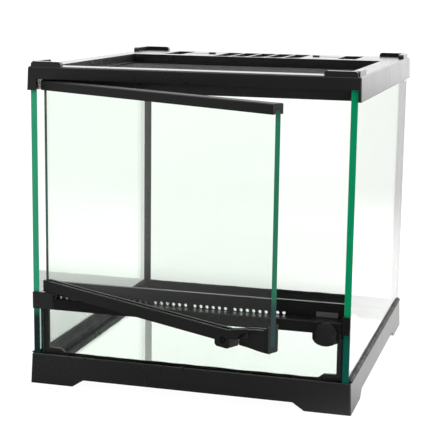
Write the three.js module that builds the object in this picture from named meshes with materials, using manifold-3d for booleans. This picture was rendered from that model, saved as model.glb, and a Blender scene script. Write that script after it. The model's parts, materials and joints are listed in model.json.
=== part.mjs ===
// Glass terrarium cabinet with a side-hinged front door, a turning door lock, a lift-out screen
// lid and two cable inlets with sliding closures. Millimetres, +Z up, the door faces -Y.
import * as THREE from 'three';
import { mergeVertices } from 'three/addons/utils/BufferGeometryUtils.js';
import Module from 'manifold-3d';

const wasm = await Module();
wasm.setup();

// ---------------------------------------------------------------- driving dimensions
const WIDTH = 310; // base frame at the floor, left to right
const DEPTH = 325; // base frame at the floor, front to back
const BODY_HEIGHT = 302; // floor to the top deck, without the stacking ridges
const GAP = 0.3; // clearance between pieces that touch or hold each other
const CORNER_RADIUS = 1.6; // upright edges of both frames
const EDGE_CHAMFER = 1.2; // upper edges of both frames

const GLASS = 6;
const GLASS_INSET = 3.3; // frame's outer face at the floor to the side panes' outer face
const PANE_END_INSET = 2.2; // frame's front and rear faces to the side panes' ends
const FRONT_PANE_INSET = 4.25; // frame's front face to the lower front pane
const GLASS_TOP_COVER = 5; // top deck's upper face to the panes' top edges

const BASE_HEIGHT = 29.7;
const BASE_DRAFT = 1.2; // each side leans in by this much over the base's height
const BASE_LEDGE_TOP = 12; // the panes stand on this ledge
const BASE_LEDGE_THICK = 2.5;
const BASE_LEDGE_WIDTH = 15;
const BASE_WALL = 3;
const BASE_SEAM_Y = 26; // where the front and rear mouldings meet, from the middle
const FOOT_HEIGHT = 7;
const FOOT_LENGTH_X = 42.8;
const FOOT_LENGTH_Y = 50;
const FOOT_BEVEL = 11;

const TOP_HEIGHT = 22; // top frame, front view
const TOP_DRAFT = 0.8;
const TOP_SKIN = 2.5; // top deck
const TOP_WALL = 2.2; // walls round the lid's opening
const TOP_RAIL_SIDE = 20; // deck left and right of the lid's opening
const TOP_RAIL_FRONT = 22.5; // deck in front of the lid's opening
const REAR_DECK = 87.5; // deck behind the lid's opening
const TOP_SEAM_Y = 5; // where the front and rear mouldings meet, from the middle
const LID_RECESS = 12; // top deck down to the ledge that carries the lid
const LID_LEDGE = 5;
const RIDGE_HEIGHT = 4.3; // stacking ridges on the four corners
const RIDGE_WIDTH = 5.5;
const RIDGE_LENGTH = 29.3; // cross arm
const RIDGE_SIDE_LENGTH = 32.5;
const RIDGE_INSET = 0.3; // frame's top edge to the ridge's outer face
const RIDGE_SIDE_INSET = 1.7; // the side arm stands this much further in
const RIDGE_END = 2.9; // ridge's corner to the cross arm's end
const RIDGE_SIDE_START = 5; // ridge's corner to the side arm's end
const RIDGE_BEVEL = 2.4;

const DOOR_THICK = 12; // rails of the door
const DOOR_SEAT_HEIGHT = 10.4; // recess under the top frame's front band
const DOOR_SWING_CLEAR = 0.5; // door's rear corner, as it swings past, to the recess's rear wall
const DOOR_FREE_GAP = 1.7; // closed door's free edge to the corner post
const DOOR_HINGE_GAP = 6.05; // closed door's hinge edge to the corner post
const DOOR_TOP_RAIL = 8.4;
const DOOR_BOTTOM_RAIL = 10.8;
const DOOR_WEB = 4.2; // solid part of a rail past the pane's edge
const DOOR_PANE_INSET = 1; // rails' hinge ends to the pane's edge, which is flush at the free end
const HINGE_SETBACK = 3.8; // pivot from the door's hinge edge
const DOOR_OPEN = 28; // degrees, as it stands
const PIN_RADIUS = 1.5;
const PIN_IN_FRAME = 4.6;
const PIN_IN_DOOR = 3;
const BUSH_WALL = 1;

const STRIP_BOTTOM = 73.8; // cross strip under the door
const STRIP_LEDGE = 84.5;
const STRIP_CAP_TOP = 89.8; // end caps
const STRIP_PLATE_TOP = 98.8; // perforated plate behind the closed door
const STRIP_SKIN = 4;
const STRIP_WALL = 1.7;
const STRIP_FLANGE = 3.7;
const STRIP_LEDGE_THICK = 2;
const STRIP_PLATE_RISE = 1.2; // strip's lower edge to the perforated plate's
const LEFT_CAP_WIDTH = 20.7;
const RIGHT_CAP_WIDTH = 7.6;
const VENT_RADIUS = 1.6;
const VENT_PITCH = 5.85;
const VENT_GROUP_PITCH = 38.15;
const VENT_PER_GROUP = 6;
const VENT_GROUP_START = -15.2; // from the strip's left end to its first, cut-off group of holes
const VENT_MARGIN = 2.2; // strip's left end to the nearest hole
const VENT_LOCK_MARGIN = 26.2; // last hole to the lock housing
const VENT_ABOVE_LEDGE = 0.2;

const LOCK_INSET = 24.2; // base frame's right side to the knob's axis
const LOCK_Z = 75;
const LOCK_HOUSING_WIDTH = 25.2;
const LOCK_HOUSING_DROP = 9.6; // from the knob's axis to the housing's lower edge
const LOCK_HOUSING_PROUD = 1.7;
const LOCK_CORNER = 5;
const KNOB_RADIUS = 9.4;
const KNOB_HEIGHT = 7.8;
const KNOB_CHIN_RADIUS = 17; // the knob's lower edge is a flatter arc
const KNOB_CHIN_DROP = 11.2;
const KNOB_CHIN_HALF = 10.2;
const SPINDLE_RADIUS = 3;
const TONGUE_LENGTH = 29.2; // from the knob's axis
const TONGUE_HALF = 2.7;
const TONGUE_THICK = 1.4;
const TONGUE_SETBACK = 1; // strip's front face to the tongue's front face
const TONGUE_REST_ANGLE = 172; // degrees from +X, door unlocked
const TONGUE_TURN = 44; // degrees to the locked position

const LATCH_ARC_RADIUS = TONGUE_LENGTH + 1.1; // edge of the door's latch recess, about the knob's axis
const LATCH_RECESS = 2.9; // as deep as the pane's groove
// Places in the latch are distances from the door's free edge.
const LATCH_FLAT = 25.6; // the recess is flat up to here and then ramps out to the face
const LATCH_RAMP = 4.3;
const LATCH_FOOT_DROP = 4.9; // foot below the bottom rail
const LATCH_FOOT = [58.7, 42.3];
const LATCH_FOOT_CORNER = 3;
const LATCH_BLOCK = 33.9;
const LATCH_SLOT_HEIGHT = 4.2; // open slot between the foot and the block
const LATCH_TOP = [[45.6, 0], [33.6, 2.6], [25.6, 4.6], [15.6, 6.2], [5.6, 7.5], [2.6, 9], [0.6, 11.4]];
const STUD_INSET = 49.3;
const STUD_RADIUS = 1.6;
const STUD_ABOVE = 1.4; // its centre above the bottom rail's lower edge
const STUD_SEAT = 1.2; // depth of the dish round it

const LID_BORDER = 8;
const LID_THICK = 3.7;
const LID_LIP = 1.5;
const LID_REBATE = 4;
const MESH_THICK = 0.8;
const MESH_BAR = 2; // the woven wire is drawn as a plain grid of bars
const LID_MESH_CELLS = [12, 10];
const LID_TAB_INSET = 10.5; // opening's side to the lid's lifting tab
const LID_TAB_WIDTH = 2.4;
const LID_TAB_LENGTH = 7.2;
const LID_TAB_HEIGHT = 6;

const GRILLE_WIDTH = 96;
const GRILLE_CELLS = 5;
const GRILLE_RIB = 2.6;
const GRILLE_FRONT = 4; // rear wall of the lid's opening to the grille
const GRILLE_DEPTH = 66;
const REAR_MESH_CELLS = [GRILLE_CELLS, 4];
const INLET_X = 96; // centre of a cable inlet
const INLET_WIDTH = 20;
const INLET_DEPTH = 56;
const INLET_FRONT = 14;
const SLIDER_TRAVEL = 22;
const SLIDER_THICK = 1.5;
const SLIDER_OVERLAP = 1;
const GRIP_LENGTH = 7;
const GRIP_WIDTH = 5.4;
const GRIP_PROUD = 1.6;
const GUIDE_WALL = 1.6;
const GUIDE_LIP = 3.4;

const SEAL_LEG = 6.2; // silicone beads in the upright corners
const SEAL_JOINT = 1; // silicone between two panes' edges
const SEAL_FOOT_LENGTH = 18;
const SEAL_FOOT_HEIGHT = 4.4;
const FLOOR_SEAL_LEG = 3.5;
const CATCH_WIDTH = 19.8;
const CATCH_HEIGHT = 4.6;
const CATCH_THICK = 0.9;
const CATCH_OFFSET = 2.3; // knob's axis to the plate's middle
const CATCH_ABOVE_LEDGE = 1;

// ---------------------------------------------------------------- places worked out from them
const halfW = WIDTH / 2;
const halfD = DEPTH / 2;
const frontY = -halfD;
const paneOutX = halfW - GLASS_INSET;
const paneInX = paneOutX - GLASS;
const paneEndY = halfD - PANE_END_INSET; // side panes run from -paneEndY to +paneEndY
const paneTopZ = BODY_HEIGHT - GLASS_TOP_COVER;
const paneFootZ = BASE_LEDGE_TOP + GAP;
const floorTopZ = paneFootZ + GLASS;
const backInY = paneEndY - GLASS;
const sealedX = paneInX - GAP - SEAL_JOINT; // inner side of the silicone in the upright joints
const frontPaneY = [frontY + FRONT_PANE_INSET, frontY + FRONT_PANE_INSET + GLASS];
const topZ = BODY_HEIGHT - TOP_HEIGHT;
const deckUnderZ = BODY_HEIGHT - TOP_SKIN;
const openX = halfW - TOP_RAIL_SIDE;
const openY = [frontY + TOP_RAIL_FRONT, halfD - REAR_DECK];
const lidLedgeZ = BODY_HEIGHT - LID_RECESS;
const seatTopZ = topZ + DOOR_SEAT_HEIGHT;
const postInX = paneInX - GAP / 2;
const doorX = [-postInX + DOOR_HINGE_GAP, postInX - DOOR_FREE_GAP];
const doorY = [frontY, frontY + DOOR_THICK];
const doorMidY = frontY + DOOR_THICK / 2;
const doorBottomZ = STRIP_CAP_TOP + GAP + 0.1;
const doorTopZ = topZ + GAP + DOOR_TOP_RAIL;
const pivot = new THREE.Vector3(doorX[0] + HINGE_SETBACK, doorMidY, 0);
const swingBackY = pivot.y + Math.hypot(HINGE_SETBACK, DOOR_THICK / 2);
const seatBackY = swingBackY + DOOR_SWING_CLEAR;
const plateY = doorY[1] + GAP * 2;
const plateBackY = plateY + STRIP_WALL;
const plateFootZ = STRIP_BOTTOM + STRIP_PLATE_RISE;
const ledgeUnderZ = STRIP_LEDGE - STRIP_LEDGE_THICK;
const LOCK_X = halfW - LOCK_INSET;
const fromFreeEdge = (distance) => doorX[1] - distance;
const tongueY = [frontY + TONGUE_SETBACK, frontY + TONGUE_SETBACK + TONGUE_THICK];
const railTopZ = doorBottomZ + DOOR_BOTTOM_RAIL;
const bushOuter = PIN_RADIUS + GAP + BUSH_WALL;

// ---------------------------------------------------------------- materials
const plastic = (color, roughness) => new THREE.MeshStandardMaterial({ color, roughness, metalness: 0 });
const blackPlastic = plastic(0x1d1e1f, 0.38);
const silicone = plastic(0x101112, 0.55);
const steel = new THREE.MeshStandardMaterial({ color: 0xa9abad, roughness: 0.3, metalness: 1 });
const screen = new THREE.MeshStandardMaterial({ color: 0x4a4c4e, roughness: 0.5, metalness: 0.8 });
const glass = new THREE.MeshStandardMaterial({
  color: 0xdff2e8, roughness: 0.03, metalness: 0, transparent: true, opacity: 0.35,
});

// ---------------------------------------------------------------- solids
function toSolid(geometry) {
  const bare = geometry.clone();
  bare.deleteAttribute('normal');
  bare.deleteAttribute('uv');
  const merged = mergeVertices(bare, 1e-4);
  return new wasm.Manifold(new wasm.Mesh({
    numProp: 3,
    vertProperties: Float32Array.from(merged.attributes.position.array),
    triVerts: Uint32Array.from(merged.index.array),
  }));
}

function toGeometry(solid) {
  const mesh = solid.getMesh();
  const geometry = new THREE.BufferGeometry();
  geometry.setAttribute('position', new THREE.BufferAttribute(Float32Array.from(mesh.vertProperties), 3));
  geometry.setIndex(new THREE.BufferAttribute(Uint32Array.from(mesh.triVerts), 1));
  geometry.computeVertexNormals();
  return geometry;
}

function block([x0, x1], [y0, y1], [z0, z1]) {
  const geometry = new THREE.BoxGeometry(x1 - x0, y1 - y0, z1 - z0);
  geometry.translate((x0 + x1) / 2, (y0 + y1) / 2, (z0 + z1) / 2);
  return toSolid(geometry);
}

// A straight prism: an outline in the two other axes, carried along one axis.
function prism(axis, outline, [from, to]) {
  const shape = new THREE.Shape(outline.map(([a, b]) => new THREE.Vector2(a, b)));
  const geometry = new THREE.ExtrudeGeometry(shape, { depth: to - from, bevelEnabled: false });
  const [x, y, z] = [new THREE.Vector3(1, 0, 0), new THREE.Vector3(0, 1, 0), new THREE.Vector3(0, 0, 1)];
  const turn = new THREE.Matrix4();
  if (axis === 'x') turn.makeBasis(y, z, x).setPosition(from, 0, 0);
  if (axis === 'y') turn.makeBasis(x, z, y.clone().negate()).setPosition(0, to, 0);
  if (axis === 'z') turn.setPosition(0, 0, from);
  geometry.applyMatrix4(turn);
  return toSolid(geometry);
}

function arc(cx, cy, radius, startDeg, endDeg, steps) {
  return Array.from({ length: steps + 1 }, (_, i) => {
    const angle = THREE.MathUtils.degToRad(startDeg + ((endDeg - startDeg) * i) / steps);
    return [cx + radius * Math.cos(angle), cy + radius * Math.sin(angle)];
  });
}

function rod(axis, cx, cy, radius, span, sides = 20) {
  return prism(axis, arc(cx, cy, radius, 0, 360, sides).slice(0, -1), span);
}

// A rectangle with rounded corners, lofted through levels of [half width, half depth, z].
function lofted(levels, radius) {
  const sides = 6;
  const loops = levels.map(([hw, hd, z]) => [
    ...arc(hw - radius, hd - radius, radius, 0, 90, sides),
    ...arc(radius - hw, hd - radius, radius, 90, 180, sides),
    ...arc(radius - hw, radius - hd, radius, 180, 270, sides),
    ...arc(hw - radius, radius - hd, radius, 270, 360, sides),
  ].map(([x, y]) => [x, y, z]));
  const count = loops[0].length;
  const index = [];
  for (let level = 0; level < loops.length - 1; level += 1) {
    for (let i = 0; i < count; i += 1) {
      const a = level * count + i;
      const b = level * count + ((i + 1) % count);
      index.push(a, b, b + count, a, b + count, a + count);
    }
  }
  const last = (loops.length - 1) * count;
  for (let i = 1; i < count - 1; i += 1) {
    index.push(0, i + 1, i, last, last + i, last + i + 1);
  }
  const geometry = new THREE.BufferGeometry();
  geometry.setAttribute('position', new THREE.Float32BufferAttribute(loops.flat(2), 3));
  geometry.setIndex(index);
  return toSolid(geometry);
}

const join = (...solids) => solids.reduce((sum, solid) => sum.add(solid));
const cut = (solid, ...tools) => tools.reduce((rest, tool) => rest.subtract(tool), solid);
const mirrored = (span) => [-span[1], -span[0]];

const cabinet = new THREE.Group();
const door = new THREE.Group();

function add(parent, name, solid, material) {
  const mesh = new THREE.Mesh(toGeometry(solid), material);
  mesh.name = name;
  parent.add(mesh);
  return mesh;
}

// ---------------------------------------------------------------- base frame
function baseFrame() {
  const lean = (BASE_DRAFT * (BASE_HEIGHT - EDGE_CHAMFER)) / BASE_HEIGHT;
  const body = lofted([
    [halfW, halfD, 0],
    [halfW - lean, halfD - lean, BASE_HEIGHT - EDGE_CHAMFER],
    [halfW - BASE_DRAFT - EDGE_CHAMFER, halfD - BASE_DRAFT - EDGE_CHAMFER, BASE_HEIGHT],
  ], CORNER_RADIUS);
  const above = BASE_HEIGHT + 1;
  const seatX = paneOutX + GAP;
  const seatY = paneEndY + GAP;
  const tray = block([-seatX, seatX], [-seatY, seatY], [BASE_LEDGE_TOP, above]);
  const innerX = seatX - BASE_LEDGE_WIDTH;
  const innerY = seatY - BASE_LEDGE_WIDTH;
  const well = block([-innerX, innerX], [-innerY, innerY], [-1, above]);
  const underZ = [-1, BASE_LEDGE_TOP - BASE_LEDGE_THICK];
  const footX = halfW - FOOT_LENGTH_X;
  const footY = halfD - FOOT_LENGTH_Y;
  const hollowX = [innerX + BASE_WALL, halfW - BASE_WALL - BASE_DRAFT];
  const hollowY = [innerY + BASE_WALL, halfD - BASE_WALL - BASE_DRAFT];
  const arch = (reach) => [[-reach, -1], [-reach, 0], [FOOT_BEVEL - reach, FOOT_HEIGHT],
    [reach - FOOT_BEVEL, FOOT_HEIGHT], [reach, 0], [reach, -1]];
  return cut(
    body,
    tray,
    well,
    block(hollowX, [-footY, footY], underZ),
    block(mirrored(hollowX), [-footY, footY], underZ),
    block([-footX, footX], hollowY, underZ),
    block([-footX, footX], mirrored(hollowY), underZ),
    prism('y', arch(footX), [-DEPTH, DEPTH]),
    prism('x', arch(footY), [-WIDTH, WIDTH]),
  );
}

// ---------------------------------------------------------------- top frame
function stackingRidge(signX, signY) {
  const out = [halfW - RIDGE_INSET - TOP_DRAFT, halfD - RIDGE_INSET - TOP_DRAFT];
  const [foot, top] = [BODY_HEIGHT - EDGE_CHAMFER - 0.5, BODY_HEIGHT + RIDGE_HEIGHT];
  const round = RIDGE_BEVEL * 0.3;
  const arm = (axis, sign, crossSign, far, crossEdge, length) => {
    const near = far - length;
    const half = [[far, foot], [far, top - RIDGE_BEVEL], [far - round, top - round],
      [far - RIDGE_BEVEL, top], [near + RIDGE_BEVEL, top], [near + round, top - round],
      [near, top - RIDGE_BEVEL], [near, foot]];
    const outline = sign > 0 ? half : half.map(([a, z]) => [-a, z]).reverse();
    const span = [crossEdge - RIDGE_WIDTH, crossEdge];
    return prism(axis, outline, crossSign > 0 ? span : mirrored(span));
  };
  return [
    arm('y', signX, signY, out[0] - RIDGE_END, out[1], RIDGE_LENGTH),
    arm('x', signY, signX, out[1] - RIDGE_SIDE_START, out[0] - RIDGE_SIDE_INSET, RIDGE_SIDE_LENGTH),
  ];
}

function inletSpans(sign) {
  const hole = [INLET_X - INLET_WIDTH / 2, INLET_X + INLET_WIDTH / 2];
  const plate = [hole[0] - SLIDER_OVERLAP - SLIDER_TRAVEL, hole[1] + SLIDER_OVERLAP - SLIDER_TRAVEL];
  const gripStart = hole[0] - SLIDER_OVERLAP * 2 - SLIDER_TRAVEL - GRIP_LENGTH;
  const grip = [gripStart, gripStart + GRIP_LENGTH];
  const slot = [grip[0] - GAP, grip[1] + SLIDER_TRAVEL + GAP];
  const wide = [Math.min(plate[0], grip[0] - SLIDER_OVERLAP), plate[1]];
  const side = (span) => (sign > 0 ? span : mirrored(span));
  const y0 = openY[1] + TOP_WALL + INLET_FRONT;
  const holeY = [y0, y0 + INLET_DEPTH];
  const midY = y0 + INLET_DEPTH / 2;
  return {
    hole: side(hole),
    plate: side(wide),
    grip: side(grip),
    slot: side(slot),
    guide: side([wide[0], hole[1] + SLIDER_OVERLAP + GAP]),
    holeY,
    plateY: [holeY[0] - GUIDE_LIP + GAP, holeY[1] + GUIDE_LIP - GAP],
    gripY: [midY - GRIP_WIDTH / 2, midY + GRIP_WIDTH / 2],
  };
}

const sliderZ = [deckUnderZ - GAP - SLIDER_THICK, deckUnderZ - GAP];

function sliderGuides(sign) {
  const { guide, plateY: span } = inletSpans(sign);
  const lipZ = [sliderZ[0] - GAP - GUIDE_WALL, sliderZ[0] - GAP];
  const wallZ = [lipZ[0], deckUnderZ + GAP];
  return join(
    block(guide, [span[0] - GAP - GUIDE_WALL, span[0] - GAP], wallZ),
    block(guide, [span[0] - GAP - GUIDE_WALL, span[0] + GUIDE_LIP / 2], lipZ),
    block(guide, [span[1] + GAP, span[1] + GAP + GUIDE_WALL], wallZ),
    block(guide, [span[1] - GUIDE_LIP / 2, span[1] + GAP + GUIDE_WALL], lipZ),
  );
}

function grilleCells() {
  const pitch = GRILLE_WIDTH / GRILLE_CELLS;
  const y0 = openY[1] + TOP_WALL + GRILLE_FRONT;
  return Array.from({ length: GRILLE_CELLS }, (_, i) => {
    const x0 = -GRILLE_WIDTH / 2 + pitch * i;
    return block([x0 + GRILLE_RIB / 2, x0 + pitch - GRILLE_RIB / 2], [y0, y0 + GRILLE_DEPTH],
      [deckUnderZ - 1, BODY_HEIGHT + 1]);
  });
}

function topFrame() {
  const lean = (TOP_DRAFT * (TOP_HEIGHT - EDGE_CHAMFER)) / TOP_HEIGHT;
  const body = lofted([
    [halfW, halfD, topZ],
    [halfW - lean, halfD - lean, BODY_HEIGHT - EDGE_CHAMFER],
    [halfW - TOP_DRAFT - EDGE_CHAMFER, halfD - TOP_DRAFT - EDGE_CHAMFER, BODY_HEIGHT],
  ], CORNER_RADIUS);
  const above = BODY_HEIGHT + 1;
  const below = topZ - 1;
  const wallX = openX + TOP_WALL;
  const wallY = [openY[0] - TOP_WALL, openY[1] + TOP_WALL];
  const seatWallY = [seatBackY, seatBackY + TOP_WALL];
  const hollow = cut(
    block([-paneOutX - GAP, paneOutX + GAP], [-paneEndY - GAP, paneEndY + GAP], [below, deckUnderZ]),
    block([-wallX, wallX], wallY, [lidLedgeZ - TOP_WALL, above]),
    block([-halfW, halfW], [frontY, seatWallY[1]], [seatTopZ, above]),
    block([-postInX, postInX], seatWallY, [below, above]),
  );
  const seat = block([-postInX, paneOutX + GAP], [frontY - 1, seatBackY], [below, seatTopZ]);
  const paneSlots = [1, -1].map((sign) => {
    const span = [paneInX - GAP, paneOutX + GAP];
    return block(sign > 0 ? span : mirrored(span), [-paneEndY - GAP, 0], [below, paneTopZ + GAP]);
  });
  const ledgeX = openX - LID_LEDGE;
  const ledgeY = [openY[0] + LID_LEDGE, openY[1] - LID_LEDGE];
  const inlets = [1, -1].flatMap((sign) => {
    const span = inletSpans(sign);
    return [
      block(span.hole, span.holeY, [deckUnderZ - 1, above]),
      block(span.slot, [span.gripY[0] - GAP, span.gripY[1] + GAP], [deckUnderZ - 1, above]),
    ];
  });
  const pinHole = rod('z', pivot.x, pivot.y, bushOuter + GAP, [below, seatTopZ + PIN_IN_FRAME + GAP]);
  const shell = cut(
    body,
    hollow,
    seat,
    ...paneSlots,
    block([-ledgeX, ledgeX], ledgeY, [below, above]),
    block([-openX, openX], openY, [lidLedgeZ, above]),
    ...inlets,
    ...grilleCells(),
    pinHole,
  );
  return join(
    shell,
    sliderGuides(1),
    sliderGuides(-1),
    ...[[1, 1], [1, -1], [-1, 1], [-1, -1]].flatMap(([sx, sy]) => stackingRidge(sx, sy)),
  );
}

// Both frames are two mouldings that meet at a seam across the side rails.
function addHalves(name, solid, seamY) {
  const far = [-WIDTH, WIDTH];
  const tall = [-1, BODY_HEIGHT + RIDGE_HEIGHT + 1];
  const frontHalf = block(far, [-DEPTH, seamY - GAP / 2], tall);
  const rearHalf = block(far, [seamY + GAP / 2, DEPTH], tall);
  add(cabinet, `${name}_front`, solid.intersect(frontHalf), blackPlastic);
  add(cabinet, `${name}_rear`, solid.intersect(rearHalf), blackPlastic);
}

// ---------------------------------------------------------------- panes and seals
function addPanes() {
  const tall = [paneFootZ, paneTopZ];
  const sideY = [-paneEndY, paneEndY];
  const between = [-paneInX + GAP, paneInX - GAP];
  const jointed = [-sealedX + GAP, sealedX - GAP];
  add(cabinet, 'left_glass', block([-paneOutX, -paneInX], sideY, tall), glass);
  add(cabinet, 'right_glass', block([paneInX, paneOutX], sideY, tall), glass);
  add(cabinet, 'back_glass', block(jointed, [backInY, paneEndY], tall), glass);
  add(cabinet, 'front_lower_glass', block(jointed, frontPaneY, [paneFootZ, ledgeUnderZ - GAP]), glass);
  const floorY = [frontPaneY[1] + GAP, backInY - GAP];
  add(cabinet, 'floor_glass', block(between, floorY, [paneFootZ, floorTopZ]), glass);
}

function addSeals() {
  const footZ = floorTopZ + GAP + FLOOR_SEAL_LEG + GAP;
  const topEnd = lidLedgeZ - TOP_WALL - GAP;
  const sealX = paneInX - GAP;
  const rearY = backInY - GAP;
  const bead = [[sealX, paneEndY], [sealedX, paneEndY], [sealedX, rearY], [sealX - SEAL_LEG, rearY],
    [sealX - SEAL_LEG * 0.4, rearY - SEAL_LEG * 0.4], [sealX, rearY - SEAL_LEG]];
  const flipX = (outline) => outline.map(([x, y]) => [-x, y]).reverse();
  add(cabinet, 'rear_seal_right', prism('z', bead, [footZ, topEnd]), silicone);
  add(cabinet, 'rear_seal_left', prism('z', flipX(bead), [footZ, topEnd]), silicone);

  const y0 = frontPaneY[1] + GAP;
  const endZ = plateFootZ - GAP;
  const toeZ = BASE_HEIGHT + SEAL_FOOT_HEIGHT;
  const toeX = sealX - SEAL_FOOT_LENGTH - SEAL_FOOT_HEIGHT * 1.4;
  const frontBead = [[sealX, footZ], [sealX, endZ], [sealX - SEAL_LEG, endZ], [sealX - SEAL_LEG, toeZ],
    [sealX - SEAL_FOOT_LENGTH, toeZ - 0.4], [toeX, BASE_HEIGHT - 1], [toeX, footZ]];
  const joint = [sealedX, sealX];
  const jointSpan = [frontPaneY[0], y0 + 1];
  const sides = [['right', frontBead, joint], ['left', flipX(frontBead), mirrored(joint)]];
  sides.forEach(([side, outline, span]) => {
    add(cabinet, `front_seal_${side}`, join(
      prism('y', outline, [y0, y0 + FLOOR_SEAL_LEG]),
      block(span, jointSpan, [footZ, endZ]),
    ), silicone);
  });

  const outX = paneInX - GAP;
  const outY = [frontPaneY[1] + GAP, backInY - GAP];
  const inX = outX - FLOOR_SEAL_LEG;
  const sealZ = [floorTopZ + GAP, floorTopZ + GAP + FLOOR_SEAL_LEG];
  add(cabinet, 'floor_seal', cut(
    block([-outX, outX], outY, sealZ),
    block([-inX, inX], [outY[0] + FLOOR_SEAL_LEG, outY[1] - FLOOR_SEAL_LEG], [0, BODY_HEIGHT]),
  ), silicone);
}

// ---------------------------------------------------------------- cross strip under the door
const stripEnd = [-paneOutX + LEFT_CAP_WIDTH + GAP, paneOutX - RIGHT_CAP_WIDTH - GAP];
const skinBackY = frontPaneY[0] - GAP;

function stripOutline() {
  const chamfer = 0.6;
  return [
    [frontY, STRIP_BOTTOM], [skinBackY, STRIP_BOTTOM], [skinBackY, ledgeUnderZ], [plateY, ledgeUnderZ],
    [plateY, plateFootZ], [plateBackY, plateFootZ], [plateBackY, STRIP_PLATE_TOP - STRIP_WALL],
    [plateY + STRIP_FLANGE, STRIP_PLATE_TOP - STRIP_WALL], [plateY + STRIP_FLANGE, STRIP_PLATE_TOP],
    [plateY, STRIP_PLATE_TOP], [plateY, STRIP_LEDGE], [frontY + chamfer, STRIP_LEDGE],
    [frontY, STRIP_LEDGE - chamfer],
  ];
}

const housingX = [LOCK_X - LOCK_HOUSING_WIDTH / 2, LOCK_X + LOCK_HOUSING_WIDTH / 2];

function ventHoles() {
  const z = STRIP_LEDGE + VENT_ABOVE_LEDGE + VENT_RADIUS;
  const [first, last] = [stripEnd[0] + VENT_MARGIN, housingX[0] - VENT_LOCK_MARGIN];
  const places = [];
  for (let group = stripEnd[0] + VENT_GROUP_START; group < last; group += VENT_GROUP_PITCH) {
    for (let i = 0; i < VENT_PER_GROUP; i += 1) places.push(group + i * VENT_PITCH);
  }
  return places
    .filter((x) => x > first && x < last)
    .map((x) => rod('y', x, z, VENT_RADIUS, [plateY - 1, plateBackY + 1], 10));
}

const catchMidX = LOCK_X - CATCH_OFFSET;
const catchX = [catchMidX - CATCH_WIDTH / 2, catchMidX + CATCH_WIDTH / 2];
const catchZ = [STRIP_LEDGE + CATCH_ABOVE_LEDGE, STRIP_LEDGE + CATCH_ABOVE_LEDGE + CATCH_HEIGHT];

function addStrip() {
  const bar = prism('x', stripOutline(), stripEnd);
  const lockNotch = block([housingX[0] - GAP, housingX[1] + GAP], [frontY - 1, skinBackY + GAP],
    [STRIP_BOTTOM - 1, ledgeUnderZ + GAP]);
  const catchPocket = block([catchX[0] - GAP, catchX[1] + GAP], [plateY - 1, plateY + CATCH_THICK + GAP],
    [catchZ[0] - GAP, catchZ[1] + GAP]);
  const sweptX = [LOCK_X - LATCH_ARC_RADIUS, LOCK_X];
  const tonguePocket = block(sweptX, [tongueY[0] - GAP, skinBackY + GAP], [STRIP_BOTTOM - 1, ledgeUnderZ]);
  const tongueSlot = block(sweptX, [tongueY[0] - GAP, tongueY[1] + GAP], [ledgeUnderZ - 1, STRIP_LEDGE + 1]);
  add(cabinet, 'vent_strip', cut(bar, lockNotch, tonguePocket, tongueSlot, catchPocket, ...ventHoles()),
    blackPlastic);
  add(cabinet, 'door_catch_plate', block(catchX, [plateY, plateY + CATCH_THICK], catchZ), steel);

  const capFront = [frontY, -paneEndY - GAP];
  const leftX = [-paneOutX, -paneOutX + LEFT_CAP_WIDTH];
  const leftIn = [-paneInX + GAP, leftX[1]];
  const skinY = [frontY, skinBackY];
  const faceZ = [STRIP_BOTTOM, STRIP_CAP_TOP];
  const hingePlateY = [swingBackY + GAP, swingBackY + GAP + STRIP_WALL];
  const pinSocket = rod('z', pivot.x, pivot.y, bushOuter + GAP,
    [STRIP_CAP_TOP - PIN_IN_FRAME - GAP, STRIP_CAP_TOP + 1]);
  add(cabinet, 'strip_cap_left', cut(join(
    block(leftX, capFront, faceZ),
    block(leftIn, skinY, faceZ),
    block(leftIn, [frontY, hingePlateY[1]], [ledgeUnderZ, STRIP_CAP_TOP]),
    block(leftIn, hingePlateY, [plateFootZ, STRIP_PLATE_TOP]),
  ), pinSocket), blackPlastic);

  const rightX = [paneOutX - RIGHT_CAP_WIDTH, paneOutX];
  const rightIn = [rightX[0], paneInX - GAP];
  add(cabinet, 'strip_cap_right', join(
    block(rightX, capFront, faceZ),
    block(rightIn, skinY, faceZ),
    block(rightIn, [frontY, plateBackY], [ledgeUnderZ, STRIP_CAP_TOP]),
    block(rightIn, [plateY, plateBackY], [plateFootZ, STRIP_PLATE_TOP]),
  ), blackPlastic);
}

// ---------------------------------------------------------------- door lock
const lockFaceY = frontY - LOCK_HOUSING_PROUD;
const aboutLock = (points) => points.map(([x, z]) => [LOCK_X + x, LOCK_Z + z]);

function knobOutline(scale) {
  const chinAngle = THREE.MathUtils.radToDeg(Math.asin(KNOB_CHIN_HALF / KNOB_CHIN_RADIUS));
  const chinZ = KNOB_CHIN_RADIUS - KNOB_CHIN_DROP;
  const outline = [
    ...arc(0, 0, KNOB_RADIUS, -18, 198, 18),
    ...arc(0, chinZ, KNOB_CHIN_RADIUS, 270 - chinAngle, 270 + chinAngle, 8),
  ];
  return aboutLock(outline.map(([x, z]) => [x * scale, z * scale]));
}

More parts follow.
